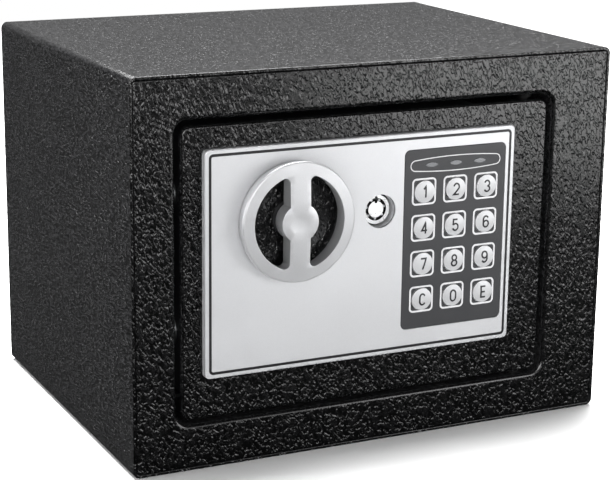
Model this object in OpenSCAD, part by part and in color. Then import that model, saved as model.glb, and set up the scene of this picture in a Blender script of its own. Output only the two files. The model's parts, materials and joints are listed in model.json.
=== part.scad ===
// Small electronic safe: folded steel body, flush door with keypad, knob and tubular lock.
// X runs to the right, Y to the back and Z up, from the centre of the base. Millimetres.
// The door is drawn shut and unlocked, with its two bolts drawn in.

/* [Body] */
// Width of the body
body_w = 230; // [226:1:240]
// Height of the body
body_h = 170; // [168:1:176]
// Depth of the body, without the knob and fascia
body_d = 176; // [165:1:230]
// Thickness of the folded body sheet
sheet = 1.2; // [1:0.1:1.5]
// Outer radius of the body's long bends
bend_r = 3; // [2.5:0.1:4]
// Distance between the two anchor holes
anchor_gap = 120; // [80:1:150]
// Radius of an anchor hole
anchor_r = 5; // [4:0.5:6]
// Height of the anchor holes in the back
anchor_z = 85; // [60:1:110]

/* [Front frame] */
// Thickness of the frame plate and its flanges
frame_t = 2; // [1.5:0.1:2]
// Frame width left of the door opening
frame_left = 19.5; // [19:0.1:20]
// Frame width right of the door opening, on the hinge side
frame_right = 29.5; // [29:0.1:30]
// Frame width above the door opening
frame_top = 19; // [18.5:0.1:21]
// Frame width below the door opening
frame_bottom = 20.3; // [20:0.1:20.5]
// Depth of the flange folded back around the opening
flange_d = 18; // [16:0.5:18]
// Corner radius of the opening
opening_r = 6; // [5:0.5:7]

/* [Door] */
// Thickness of the door plate
door_t = 3; // [2.5:0.1:3]
// Gap on the bolt side of the door
gap_left = 2.7; // [2.5:0.1:3]
// Gap on the hinge side of the door
gap_right = 3; // [2.9:0.1:3.2]
// Gap above the door
gap_top = 2.6; // [2.4:0.1:3]
// Gap below the door
gap_bottom = 2.2; // [2.1:0.1:2.4]
// Corner radius of the door
door_r = 4; // [3:0.5:5]
// Rounding of the door's front edge
door_edge = 1; // [0.6:0.1:1.2]
// Distance of the hinge line from the door's right edge
hinge_in = 9; // [8.5:0.1:9.5]
// Distance of the hinge line behind the door's face
hinge_back = 6.5; // [6.2:0.1:6.6]
// Radius of a hinge pin
hinge_pin_r = 2.5; // [2:0.1:2.5]

/* [Fascia] */
// Width of the silver fascia
fascia_w = 148; // [146:1:149]
// Height of the silver fascia
fascia_h = 98; // [96:1:100]
// Height of the fascia above the door
fascia_t = 3.2; // [3:0.1:3.4]
// Centre of the fascia, left and right
fascia_x = -9.8; // [-10:0.1:-9.5]
// Centre of the fascia, up
fascia_z = 89.7; // [89:0.1:90]
// Width of the black line around the fascia
line_w = 1.2; // [0.8:0.1:1.3]
// Inset of the black line from the fascia's edge
line_in = 1.7; // [1.5:0.1:2]

/* [Knob] */
// Radius of the knob
knob_r = 26; // [25.5:0.1:26.5]
// Centre of the knob, left and right
knob_x = -43.9; // [-44.2:0.1:-43.6]
// Centre of the knob, up
knob_z = 106.3; // [106:0.1:106.6]
// Distance of the knob's front from the door's face
knob_front = 11; // [10.5:0.1:12]
// Thickness of the knob
knob_t = 7.3; // [7:0.1:7.4]
// Outer radius of the finger windows
window_r = 20.7; // [20:0.1:21]
// Width of the grip bar
bar_w = 9.3; // [9:0.1:10]
// Radius of the knob's hub
hub_r = 8.3; // [8:0.1:9]

/* [Bolts] */
// Radius of a locking bolt
bolt_r = 7; // [6:0.5:7]
// Height of the two bolts above and below the door's middle
bolt_dz = 30; // [28:1:32]
// Travel of the bolts
bolt_travel = 12; // [10:0.5:12]
// Drop of the solenoid plunger as the bolts go out
plunger_drop = 5; // [4:0.5:5]

/* [Keypad] */
// Width of the keypad panel
pad_w = 50.6; // [50:0.1:51]
// Height of the keypad panel
pad_h = 80.4; // [80:0.1:81]
// Centre of the keypad panel, left and right
pad_x = 34.4; // [34:0.1:35]
// Centre of the keypad panel, up
pad_z = 91.1; // [90.5:0.1:91.5]
// Key pitch, left and right
key_px = 15.55; // [15.4:0.05:15.6]
// Key pitch, up
key_pz = 16.15; // [16:0.05:16.2]
// Radius of a key
key_r = 4.9; // [4.7:0.1:5]

/* [Hidden] */
$fn = 48;
eps = 0.01;
front = -body_d / 2;
back = body_d / 2;

// Door opening and door plate
open_x0 = -body_w / 2 + frame_left;
open_x1 = body_w / 2 - frame_right;
open_z0 = frame_bottom;
open_z1 = body_h - frame_top;
open_w = open_x1 - open_x0;
open_h = open_z1 - open_z0;
open_x = (open_x0 + open_x1) / 2;
open_z = (open_z0 + open_z1) / 2;
door_x0 = open_x0 + gap_left;
door_x1 = open_x1 - gap_right;
door_z0 = open_z0 + gap_bottom;
door_z1 = open_z1 - gap_top;
door_w = door_x1 - door_x0;
door_h = door_z1 - door_z0;
door_x = (door_x0 + door_x1) / 2;
door_z = (door_z0 + door_z1) / 2;
door_back = front + door_t;
hinge_x = door_x1 - hinge_in;
hinge_y = front + hinge_back;
frame_bend = 2;

// Play around the lock, the reset button and the bolts
hole_gap = 0.3;

// Hinge lugs, pins and washers
lug_w = 11;
lug_t = 8;
lug_h = 14;
lug_gap = 1;
washer_t = 1.8;
washer_r = 3.6;
pin_reach = 4;
pin_fit = 0.05;

// Cross-head screws and their holes
screw_r = 1.5;
screw_hole_r = 1.7;
screw_head_r = 2.8;
screw_head_h = 1.8;
cross_l = 3.6;
cross_w = 0.8;

// Inner cover of the door
cover_x0 = -88;
cover_x1 = 64;
cover_z0 = 27;
cover_z1 = 144;
cover_back = front + 36;
cover_t = 2;
cover_r = 6;
cover_edge = 2;
post_r = 3.5;
post_bore = 9;
post_x = [-79, 57];
post_z = [33, 137.5];

// Fascia, border line and the holes through them
fascia_front = front - fascia_t;
fascia_r = 2.2;
fascia_edge = 0.6;
groove_w = 0.5;
groove_d = 0.4;
groove_back = 0.7;
line_depth = 0.3;
line_r = 2;
knob_hole_r = 22.5;
fascia_bore = 1.7;
screw_x = [-72, 3];
screw_z = [47, 132];

// Tubular lock
lock_x = -2.3;
lock_z = 105.7;
lock_r = 6.5;
lock_hole_r = 7.4;
sleeve_r = 8.2;
sleeve_end = front + 2.7;
rib_n = 6;
rib_pitch = 0.75;
rib_w = 0.35;
rib_d = 0.35;
lock_face = front + 0.9;
lock_end = front + 16;
keyway_r = 5;
keyway_in = 3.6;
keyway_d = 4.5;
core_gap = 0.08;
lock_pin_r = 0.55;
lock_pins_n = 7;
notch_w = 1.3;
cam_t = 1.5;
cam_w = 7;
cam_reach = 14.2;

// Knob, spindle and crank
knob_y0 = front - knob_front;
knob_y1 = knob_y0 + knob_t;
knob_edge = 1.1;
knob_crown = 1;
knob_back_r = knob_r - 1.2;
window_corner = 2.2;
dimple_r = 5.2;
dimple_d = 0.35;
knob_bore_y = knob_y0 + 2;
spindle_r = 4;
spindle_fit = 0.05;
shoulder_r = 6;
shoulder_gap = 0.4;
bush_r = 6;
bush_flange_r = 8;
bush_flange_t = 1;
bush_y1 = front + 6;
crank_y0 = front + 8;
crank_t = 3;
crank_r = 12;
crank_throw = 8.5;
crank_pin_r = 3;

// Bolt carriage and its guides
bolt_y = front + 26;
bolt_z = [door_z - bolt_dz, door_z + bolt_dz];
bolt_tip = -90.5;
bolt_step = 0.8;
rivet_r = 3;
rivet_head_r = 4.5;
carriage_y = front + 15.5;
carriage_t = 2.5;
flange_x = -62;
plate_x1 = -31;
plate_z0 = 47;
plate_z1 = 124;
tail_x1 = 2;
tail_z0 = 72;
tail_z1 = 94;
slot_gap = 0.4;
slot_h = 9;
stud_r = 2.5;
stud_head_r = 4.5;
stud_gap = 0.4;
stud_pos = [[-46, 62], [-22, 79]];
guide_x = -84;
guide_t = 2.5;
guide_foot = 8.5;

// Solenoid and plunger
plunger_x = -20.5;
plunger_y = carriage_y + carriage_t / 2;
plunger_r = 3.5;
plunger_gap = 0.3;
plunger_top = 131;
collar_z = 114.7;
collar_t = 2;
collar_r = 6;
coil_z0 = 121;
coil_z1 = 139;
coil_r = 8.2;
yoke_t = 1.6;
yoke_w = 20;

// Keypad stack, from the front to the back
pad_y0 = fascia_front - 0.1;
pad_t = 1.2;
pad_r = 2.5;
pad_gap = 0.15;
pad_ledge = 2.3;
key_gap = 0.3;
key_top = pad_y0 - 0.7;
key_dome = 0.7;
key_flange_r = 5.9;
key_flange_y = pad_y0 + pad_t + 0.3;
key_flange_t = 0.6;
key_end = front - 0.2;
board_y = front + 1;
board_t = 1.6;
switch_r = 2.6;
switch_h = 0.6;
cut_w = pad_w + 1.4;
cut_h = pad_h + 1.6;
row_z = 112.6;
outline_w = 11.9;
outline_line = 0.8;
print_t = 0.1;
led_z = 124.2;
led_gap = 12.05;
led_w = 6.4;
led_h = 2.1;

// Control board and reset button
main_y = front + 8;
main_x0 = 10;
main_x1 = 58;
main_z0 = 103;
main_z1 = 132;
plug_x0 = 12;
plug_z = [104.5, 112];
reset_x = 50;
reset_z = 118;
reset_r = 3;

// Battery compartment
cell_r = 7.1;
cell_l = 50.5;
cell_pitch = 14.7;
cell_n = 4;
cell_off = 0.55;
cell_y = cover_back - 9.2;
bay_x0 = 4.5;
bay_x1 = 61.5;
bay_z0 = 37;
bay_z1 = 99;
bay_t = 1.5;
bay_z = (bay_z0 + bay_z1) / 2;
bay_x = (bay_x0 + bay_x1) / 2;
lid_w = 54;
lid_h = 58;
lid_t = 1.8;
lid_gap = 0.4;
lid_r = 2;

// Keys, as [name, column, row]
KEYS = [
    ["key_1", -1, 0], ["key_2", 0, 0], ["key_3", 1, 0],
    ["key_4", -1, 1], ["key_5", 0, 1], ["key_6", 1, 1],
    ["key_7", -1, 2], ["key_8", 0, 2], ["key_9", 1, 2],
    ["key_c", -1, 3], ["key_0", 0, 3], ["key_e", 1, 3],
];

function key_x(k) = pad_x + k[1] * key_px;
function key_z(k) = row_z - k[2] * key_pz;

// Radius of the ball or disc whose cap is 2 * half wide and rise high
function cap_radius(half, rise) = (half * half + rise * rise) / (2 * rise);

// ---- Shared shapes ----

// A rounded rectangle about the origin
module rounded(w, h, r) {
    square([w - 2 * r, h], center = true);
    square([w, h - 2 * r], center = true);
    for (sx = [-1, 1], sz = [-1, 1]) {
        translate([sx * (w / 2 - r), sz * (h / 2 - r)]) circle(r);
    }
}

// Turns a flat drawing to face the front: its X stays, its Y becomes Z, and it grows towards -Y
module facing(x, y, z) {
    translate([x, y, z]) rotate([90, 0, 0]) children();
}

// A round bar along Y, from y0 to y1
module bar_y(x, z, r, y0, y1) {
    facing(x, y1, z) cylinder(r = r, h = y1 - y0);
}

// A round bar along X, from x0 to x1
module bar_x(y, z, r, x0, x1) {
    translate([x0, y, z]) rotate([0, 90, 0]) cylinder(r = r, h = x1 - x0);
}

// A box given by its two corners
module block(p, q) {
    translate(p) cube(q - p);
}

// Runs a flat section around a rounded rectangle. The section's X points out of the rectangle.
module around(w, h, r) {
    for (a = [0, 180]) {
        rotate(a) translate([w / 2, 0, 0]) rotate([90, 0, 0])
            linear_extrude(h - 2 * r, center = true) children();
        rotate(a + 90) translate([h / 2, 0, 0]) rotate([90, 0, 0])
            linear_extrude(w - 2 * r, center = true) children();
    }
    for (c = [[1, 1, 0], [-1, 1, 90], [-1, -1, 180], [1, -1, 270]]) {
        translate([c[0] * (w / 2 - r), c[1] * (h / 2 - r), 0]) rotate(c[2])
            rotate_extrude(angle = 90) translate([r, 0]) children();
    }
}

// A quarter disc in the corner between -X and +Y of its centre
module quarter(r) {
    intersection() {
        circle(r);
        translate([-r, 0]) square(r);
    }
}

// A plate with a rounded outline and a rounded front edge, growing in Z from 0 to t
module slab(w, h, r, edge, t) {
    linear_extrude(t) rounded(w - 2 * edge, h - 2 * edge, r - edge);
    around(w, h, r) {
        translate([-edge, 0]) square([edge, t - edge]);
        translate([-edge, t - edge]) mirror([1, 0]) quarter(edge);
    }
}

// A round wire bent into a spring that stands on Z = 0
module spring(r, wire, turns, h) {
    sides = 6;
    steps = 14;
    last = turns * steps;
    ring = [for (i = [0 : last], j = [0 : sides - 1])
        let (a = 360 * i / steps, b = 360 * j / sides, reach = r + wire * cos(b))
        [reach * cos(a), reach * sin(a), wire + (h - 2 * wire) * i / last + wire * sin(b)]];
    walls = [for (i = [0 : last - 1], j = [0 : sides - 1])
        let (n = (j + 1) % sides)
        [i * sides + j, i * sides + n, (i + 1) * sides + n, (i + 1) * sides + j]];
    first_end = [for (j = [sides - 1 : -1 : 0]) j];
    last_end = [for (j = [0 : sides - 1]) last * sides + j];
    polyhedron(ring, concat([first_end], walls, [last_end]), convexity = 8);
}

// A straight round bar between any two points
module run(p, q, r) {
    d = q - p;
    reach = norm(d);
    translate(p) rotate([0, acos(d.z / reach), atan2(d.y, d.x)]) cylinder(r = r, h = reach);
}

// A bent wire through a list of points, with a slightly larger ball at each bend
module wire(points, r) {
    last = len(points) - 1;
    for (i = [0 : last - 1]) {
        run(points[i], points[i + 1], r);
    }
    for (i = [1 : last - 1]) {
        translate(points[i]) sphere(r * 1.1);
    }
}

// ---- Body ----

module body_shell() {
    color("#2b2b2d") difference() {
        facing(0, back, body_h / 2) linear_extrude(body_d) difference() {
            rounded(body_w, body_h, bend_r);
            rounded(body_w - 2 * sheet, body_h - 2 * sheet, bend_r - sheet);
        }
        for (s = [-1, 1]) {
            translate([s * anchor_gap / 2, 0, -1]) cylinder(r = anchor_r, h = sheet + 2);
        }
    }
}

module back_panel() {
    color("#2b2b2d") difference() {
        facing(0, back, body_h / 2) linear_extrude(sheet)
            rounded(body_w - 2 * sheet, body_h - 2 * sheet, bend_r - sheet);
        for (s = [-1, 1]) {
            bar_y(s * anchor_gap / 2, anchor_z, anchor_r, back - sheet - 1, back + 1);
        }
    }
}

// The frame: a plate with a rounded fold along its outside and around the door opening
module front_frame() {
    w = body_w - 2 * sheet;
    h = body_h - 2 * sheet;
    outer_r = bend_r - sheet;
    rim = 1;
    rim_d = 10;
    dx = open_x;
    dz = open_z - body_h / 2;
    color("#2b2b2d") difference() {
        facing(0, front + frame_t, body_h / 2) {
            linear_extrude(frame_t) difference() {
                rounded(w - 2 * rim, h - 2 * rim, outer_r - rim);
                translate([dx, dz])
                    rounded(open_w + 2 * frame_bend, open_h + 2 * frame_bend, opening_r + frame_bend);
            }
            around(w, h, outer_r) {
                translate([-rim, -rim_d]) square([rim, rim_d + frame_t - rim]);
                translate([-rim, frame_t - rim]) mirror([1, 0]) quarter(rim);
            }
            translate([dx, dz, 0]) around(open_w, open_h, opening_r) {
                translate([0, frame_t - flange_d]) square([frame_bend, flange_d - frame_bend]);
                translate([frame_bend, frame_t - frame_bend]) quarter(frame_bend);
            }
        }
        translate([hinge_x, hinge_y, 0]) cylinder(r = hinge_pin_r + pin_fit, h = body_h);
    }
}

module floor_mat() {
    w = 218;
    d = 138;
    mat_t = 2.5;
    mat_y = 10;
    hole_r = anchor_r + 4;
    color("#55565a") difference() {
        translate([0, mat_y, sheet]) linear_extrude(mat_t) rounded(w, d, 3);
        for (s = [-1, 1]) {
            translate([s * anchor_gap / 2, 0, 0]) cylinder(r = hole_r, h = 2 * (sheet + mat_t));
        }
    }
}

module hinge_washers() {
    color("#c9c9c4") difference() {
        for (z = [open_z0, open_z1 - washer_t]) {
            translate([hinge_x, hinge_y, z]) cylinder(r = washer_r, h = washer_t);
        }
        translate([hinge_x, hinge_y, 0]) cylinder(r = hinge_pin_r + pin_fit, h = body_h);
    }
}

// ---- Door ----

module door_panel() {
    color("#2b2b2d") difference() {
        facing(door_x, door_back, door_z) slab(door_w, door_h, door_r, door_edge, door_t);
        bar_y(knob_x, knob_z, bush_r, front - 1, door_back + 1);
        bar_y(lock_x, lock_z, sleeve_r + hole_gap, front - 1, door_back + 1);
        facing(pad_x, door_back + 1, pad_z) linear_extrude(door_t + 2) rounded(cut_w, cut_h, 2);
        for (x = screw_x, z = screw_z) {
            bar_y(x, z, screw_hole_r, front - 1, door_back + 1);
        }
    }
}

// Two steel blocks welded behind the door's right edge
module hinge_lugs() {
    color("#3a3a3c") difference() {
        for (z = [door_z0 + lug_gap, door_z1 - lug_gap - lug_h]) {
            translate([hinge_x - lug_w / 2, door_back, z]) cube([lug_w, lug_t, lug_h]);
        }
        translate([hinge_x, hinge_y, 0]) cylinder(r = hinge_pin_r, h = body_h);
    }
}

module hinge_pins() {
    color("#b8babd") translate([hinge_x, hinge_y, 0]) {
        translate([0, 0, open_z0 - pin_reach]) {
            cylinder(r = hinge_pin_r, h = door_z0 + lug_h - open_z0 + pin_reach - 1);
        }
        translate([0, 0, door_z1 - lug_h + 1]) {
            cylinder(r = hinge_pin_r, h = open_z1 + pin_reach - door_z1 + lug_h - 1);
        }
    }
}

// The moulded cover over the lockwork on the door's inner side
module door_cover() {
    w = cover_x1 - cover_x0;
    h = cover_z1 - cover_z0;
    d = cover_back - door_back;
    cx = (cover_x0 + cover_x1) / 2;
    cz = (cover_z0 + cover_z1) / 2;
    color("#232325") difference() {
        translate([cx, door_back, cz]) rotate([-90, 0, 0]) slab(w, h, cover_r, cover_edge, d);
        facing(cx, cover_back - cover_t, cz) linear_extrude(d)
            rounded(w - 2 * cover_t, h - 2 * cover_t, cover_r - cover_t);
        for (z = bolt_z) {
            bar_x(bolt_y, z, bolt_r + hole_gap + 0.2, cover_x0 - 1, cover_x0 + cover_t + 1);
        }
        facing(bay_x, cover_back + 1, bay_z) linear_extrude(cover_t + 2)
            rounded(lid_w, lid_h, lid_r);
        bar_y(reset_x, reset_z, reset_r + hole_gap, cover_back - cover_t - 1, cover_back + 1);
        for (x = post_x, z = post_z) {
            bar_y(x, z, screw_hole_r, cover_back - cover_t - 1, cover_back + 1);
        }
    }
}

module cover_posts() {
    color("#9fa1a4") difference() {
        for (x = post_x, z = post_z) {
            bar_y(x, z, post_r, door_back, cover_back - cover_t);
        }
        for (x = post_x, z = post_z) {
            bar_y(x, z, screw_r, cover_back - cover_t - post_bore, cover_back);
        }
    }
}

// A pan-head screw whose head rises towards +Y from y, with a cross slot
module cross_screw(x, y, z, shank) {
    top = y + screw_head_h;
    bar_y(x, z, screw_r, y - shank, y + eps);
    difference() {
        bar_y(x, z, screw_head_r, y, top);
        translate([x, top, z]) cube([cross_l, 2 * cross_w, cross_w], center = true);
        translate([x, top, z]) cube([cross_w, 2 * cross_w, cross_l], center = true);
    }
}

module cover_screws() {
    color("#b8babd") for (x = post_x, z = post_z) {
        cross_screw(x, cover_back, z, cover_t + post_bore - 1);
    }
}

module fascia_screws() {
    color("#b8babd") for (x = screw_x, z = screw_z) {
        cross_screw(x, door_back, z, door_t + fascia_bore - 0.2);
    }
}

// ---- Fascia ----

module line_ring() {
    w = fascia_w - 2 * line_in;
    h = fascia_h - 2 * line_in;
    difference() {
        rounded(w, h, line_r);
        rounded(w - 2 * line_w, h - 2 * line_w, line_r - line_w);
    }
}

// The thin groove along the fascia's sides, just behind its front edge
module edge_groove() {
    difference() {
        rounded(fascia_w + 2, fascia_h + 2, fascia_r + 1);
        rounded(fascia_w - 2 * groove_d, fascia_h - 2 * groove_d, fascia_r - groove_d);
    }
}

module fascia() {
    color("#c9cacd") difference() {
        union() {
            facing(fascia_x, front, fascia_z) slab(fascia_w, fascia_h, fascia_r, fascia_edge, fascia_t);
            bar_y(lock_x, lock_z, sleeve_r, front - eps, sleeve_end);
        }
        facing(fascia_x, fascia_front + line_depth, fascia_z) linear_extrude(1) line_ring();
        facing(fascia_x, fascia_front + groove_back + groove_w, fascia_z) linear_extrude(groove_w)
            edge_groove();
        bar_y(knob_x, knob_z, knob_hole_r, fascia_front - 1, front + 1);
        bar_y(lock_x, lock_z, lock_hole_r, fascia_front - 1, sleeve_end + 1);
        for (i = [1 : rib_n]) {
            y = fascia_front + i * rib_pitch;
            bar_y(lock_x, lock_z, lock_hole_r + rib_d, y, y + rib_w);
        }
        facing(pad_x, pad_y0 + pad_t, pad_z) linear_extrude(pad_t + 1)
            rounded(pad_w + 2 * pad_gap, pad_h + 2 * pad_gap, pad_r + pad_gap);
        facing(pad_x, front + 1, pad_z) linear_extrude(fascia_t + 1)
            rounded(pad_w - 2 * pad_ledge, pad_h - 2 * pad_ledge, 1);
        for (x = screw_x, z = screw_z) {
            bar_y(x, z, screw_r + pin_fit, front - fascia_bore, front + 1);
        }
    }
}

module border_line() {
    color("#101012") facing(fascia_x, fascia_front + line_depth, fascia_z)
        linear_extrude(line_depth) line_ring();
}

module keypad_panel() {
    color("#4b4c50") difference() {
        facing(pad_x, pad_y0 + pad_t, pad_z) slab(pad_w, pad_h, pad_r, 0.3, pad_t);
        for (k = KEYS) {
            bar_y(key_x(k), key_z(k), key_r + key_gap, pad_y0 - 1, pad_y0 + pad_t + 1);
        }
        for (i = [-1 : 1]) {
            facing(pad_x + i * led_gap, pad_y0 + pad_t + 1, led_z)
                linear_extrude(pad_t + 2) led_oval(0);
        }
    }
}

// A pointed oval, where two discs overlap
module led_oval(grow) {
    half = led_w / 2;
    rise = led_h / 2;
    arc_r = cap_radius(half, rise);
    intersection() {
        translate([0, arc_r - rise]) circle(arc_r + grow, $fn = 180);
        translate([0, rise - arc_r]) circle(arc_r + grow, $fn = 180);
    }
}

// The outline around the three lights: round ends joined by two long shallow arcs
module light_outline(inset) {
    reach = 20.1;
    end_r = 2.5 - inset;
    top = 3.5 - inset;
    rise = top - end_r;
    arc_r = cap_radius(reach, rise);
    intersection() {
        square([2 * reach, 2 * top], center = true);
        translate([0, top - arc_r]) circle(arc_r, $fn = 360);
        translate([0, arc_r - top]) circle(arc_r, $fn = 360);
    }
    for (s = [-1, 1]) {
        translate([s * reach, 0]) circle(end_r);
    }
}

// The white lines printed on the keypad panel
module panel_print() {
    inner = outline_w - 2 * outline_line;
    color("#e8e8ea") {
        for (k = KEYS) {
            facing(key_x(k), pad_y0, key_z(k)) linear_extrude(print_t) difference() {
                rounded(outline_w, outline_w, 2);
                rounded(inner, inner, 1.2);
            }
        }
        facing(pad_x, pad_y0, led_z) linear_extrude(print_t) difference() {
            light_outline(0);
            light_outline(0.4);
        }
    }
}

module led_lenses() {
    color("#8d9094") for (i = [-1 : 1]) {
        facing(pad_x + i * led_gap, pad_y0 + pad_t, led_z)
            linear_extrude(pad_t + 0.15) led_oval(-0.05);
    }
}

module leds() {
    color("#b9d8b4") for (i = [-1 : 1]) {
        x = pad_x + i * led_gap;
        block([x - 1.6, board_y - 1.1, led_z - 0.8], [x + 1.6, board_y, led_z + 0.8]);
    }
}

// ---- Electronics ----

module keypad_board() {
    color("#1f5b37") facing(pad_x, board_y + board_t, pad_z)
        linear_extrude(board_t) rounded(cut_w - 1, cut_h - 1, 1);
}

module key_switches() {
    color("#c4c6c8") for (k = KEYS) {
        bar_y(key_x(k), key_z(k), switch_r, board_y - switch_h, board_y);
    }
}

module board_spacers() {
    color("#d6c27a") for (x = [main_x0 + 4, main_x1 - 4], z = [main_z0 + 4, main_z1 - 4]) {
        bar_y(x, z, 2.2, board_y + board_t, main_y);
    }
}

// The main board with its chip, connectors and small parts
module control_board() {
    y = main_y + board_t;
    chip = [26, y, 106];
    chip_size = [14, 2.4, 8];
    plug_size = [8, 6, 4.5];
    small = [24, y, 119];
    small_size = [3, 1.2, 1.6];
    small_step = 5;
    color("#1f5b37") block([main_x0, main_y, main_z0], [main_x1, y, main_z1]);
    color("#202022") translate(chip) cube(chip_size);
    color("#e6e3d8") for (z = plug_z) {
        translate([plug_x0, y, z]) cube(plug_size);
    }
    color("#38383c") for (i = [0 : 3]) {
        translate(small + [i * small_step, 0, 0]) cube(small_size);
    }
}

module buzzer() {
    x = 34;
    z = 126;
    y0 = main_y + board_t;
    y1 = y0 + 7.5;
    color("#1a1a1c") difference() {
        bar_y(x, z, 5.5, y0, y1);
        bar_y(x, z, 1, y1 - 1.5, y1 + 1);
    }
}

module reset_switch() {
    y = main_y + board_t;
    half = 3;
    case_h = 12;
    stem_h = 5;
    color("#2a2a2c")
        block([reset_x - half, y, reset_z - half], [reset_x + half, y + case_h, reset_z + half]);
    color("#d8d8d4") bar_y(reset_x, reset_z, 1.7, y + case_h, y + case_h + stem_h);
}

module reset_button() {
    inside = cover_back - cover_t;
    collar_w = 1.2;
    color("#b3282a") {
        bar_y(reset_x, reset_z, reset_r, inside - 4, cover_back + 0.8);
        bar_y(reset_x, reset_z, reset_r + collar_w, inside - 2, inside - 0.4);
    }
}

// Leads inside the cover: battery to board, board to solenoid. Each end meets its part flat.
module wiring() {
    y = main_y + board_t + 3;
    r = 0.6;
    coil_side = plunger_x + yoke_w / 2;
    red_x = 22;
    black_x = 14;
    lead_y = -66;
    up = main_z0 - 2;
    low = plug_z[0];
    color("#b3282a")
        wire([[red_x, lead_y, bay_z1], [red_x, lead_y, up], [red_x, y, up],
            [18, y, up + 1], [18, y, low]], r);
    color("#1a1a1c")
        wire([[black_x, lead_y, bay_z1], [black_x, lead_y, up], [black_x, y, up], [black_x, y, low]], r);
    color("#2c5fa8")
        wire([[plug_x0, y, 113], [1, y, 113], [1, y, 127], [coil_side, y, 127]], r);
    color("#2c5fa8")
        wire([[plug_x0, y, 115.5], [4, y, 115.5], [4, y, 133], [coil_side, y, 133]], r);
}

// ---- Lockwork ----

module spindle_bush() {
    color("#c8a13a") difference() {
        union() {
            bar_y(knob_x, knob_z, bush_r, front - bush_flange_t, bush_y1);
            bar_y(knob_x, knob_z, bush_flange_r, front - bush_flange_t, front);
        }
        bar_y(knob_x, knob_z, spindle_r + spindle_fit, front - 2, bush_y1 + 1);
    }
}

// A disc with finger windows either side of a grip bar
module window_shape() {
    side = bar_w / 2;
    cx = side + window_corner;
    cz = sqrt(pow(window_r - window_corner, 2) - cx * cx);
    far = 2 * window_r;
    difference() {
        union() {
            intersection() {
                circle(window_r, $fn = 96);
                polygon([[0, 0], [far * cx, far * cz], [far * cx, -far * cz]]);
                translate([side, -window_r]) square(2 * window_r);
            }
            intersection() {
                circle(window_r, $fn = 96);
                translate([side, -cz]) square([2 * window_corner, 2 * cz]);
            }
            // A hair proud, so that the arcs cross instead of touching
            for (s = [-1, 1]) {
                translate([cx, s * cz]) circle(window_corner + eps);
            }
        }
        circle(hub_r);
    }
}

// Half of the knob's section: it narrows towards the fascia and its face is slightly crowned
module knob_section() {
    flat_r = knob_r - knob_edge;
    shoulder = knob_t - knob_crown;
    rise = shoulder - knob_edge;
    crown_r = cap_radius(flat_r, knob_crown);
    polygon([[0, 0], [knob_back_r, 0], [knob_r, rise], [0, rise]]);
    square([flat_r, shoulder]);
    translate([flat_r, rise]) mirror([1, 0]) quarter(knob_edge);
    intersection() {
        square([flat_r, knob_t]);
        translate([0, knob_t - crown_r]) circle(crown_r, $fn = 720);
    }
}

module knob() {
    hollow_r = cap_radius(dimple_r, dimple_d);
    color("#d4d5d8") difference() {
        facing(knob_x, knob_y1, knob_z) rotate_extrude($fn = 96) knob_section();
        for (a = [0, 180]) {
            facing(knob_x, knob_y1 + 1, knob_z) rotate(a) linear_extrude(knob_t + 2) window_shape();
        }
        translate([knob_x, knob_y0 + dimple_d - hollow_r, knob_z]) sphere(hollow_r, $fn = 128);
        bar_y(knob_x, knob_z, spindle_r, knob_bore_y, knob_y1 + 1);
    }
}

module knob_spindle() {
    color("#a9abae") {
        bar_y(knob_x, knob_z, spindle_r, knob_bore_y, crank_y0 + crank_t);
        bar_y(knob_x, knob_z, shoulder_r, knob_y1, front - bush_flange_t - shoulder_gap);
    }
}

module spindle_clip() {
    color("#8f9194") difference() {
        bar_y(knob_x, knob_z, spindle_r + 2, bush_y1 + 0.3, bush_y1 + 1.1);
        bar_y(knob_x, knob_z, spindle_r, bush_y1, bush_y1 + 2);
        block([knob_x - 2, bush_y1, knob_z - 8], [knob_x + 2, bush_y1 + 2, knob_z]);
    }
}

// The disc on the spindle's end, whose pin drives the carriage
module crank() {
    px = knob_x + crank_throw * sin(45);
    pz = knob_z + crank_throw * cos(45);
    color("#9a9c9f") {
        difference() {
            bar_y(knob_x, knob_z, crank_r, crank_y0, crank_y0 + crank_t);
            bar_y(knob_x, knob_z, spindle_r, crank_y0 - 1, crank_y0 + crank_t + 1);
        }
        bar_y(px, pz, crank_pin_r, crank_y0 + crank_t - 0.5, carriage_y + carriage_t + 1);
    }
}

// The sliding plate that carries the bolts. Its tail has a ramp for the plunger.
module bolt_carriage() {
    px = knob_x + crank_throw * sin(45);
    rise0 = knob_z + crank_throw * cos(45) - crank_pin_r - 1;
    slot_r = crank_pin_r + slot_gap;
    ramp0 = plunger_x - plunger_r;
    color("#b0b2b5") {
        facing(0, carriage_y + carriage_t, 0) linear_extrude(carriage_t) difference() {
            polygon([
                [flange_x, plate_z0], [plate_x1, plate_z0], [plate_x1, tail_z0],
                [tail_x1, tail_z0], [tail_x1, tail_z1 - plunger_drop],
                [ramp0 + bolt_travel, tail_z1 - plunger_drop], [ramp0, tail_z1],
                [plate_x1, tail_z1], [plate_x1, plate_z1], [flange_x, plate_z1]
            ]);
            translate([px - slot_r, rise0]) square([2 * slot_r, slot_h]);
            translate([px, rise0]) circle(slot_r);
            translate([px, rise0 + slot_h]) circle(slot_r);
            for (p = stud_pos) {
                translate([p[0], p[1] - stud_r - slot_gap])
                    square([bolt_travel, 2 * (stud_r + slot_gap)]);
                translate(p) circle(stud_r + slot_gap);
                translate([p[0] + bolt_travel, p[1]]) circle(stud_r + slot_gap);
            }
        }
        difference() {
            block([flange_x, carriage_y, plate_z0], [flange_x + carriage_t, bolt_y + bolt_r, plate_z1]);
            for (z = bolt_z) {
                bar_x(bolt_y, z, rivet_r, flange_x - 1, flange_x + carriage_t + 1);
            }
        }
    }
}

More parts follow.
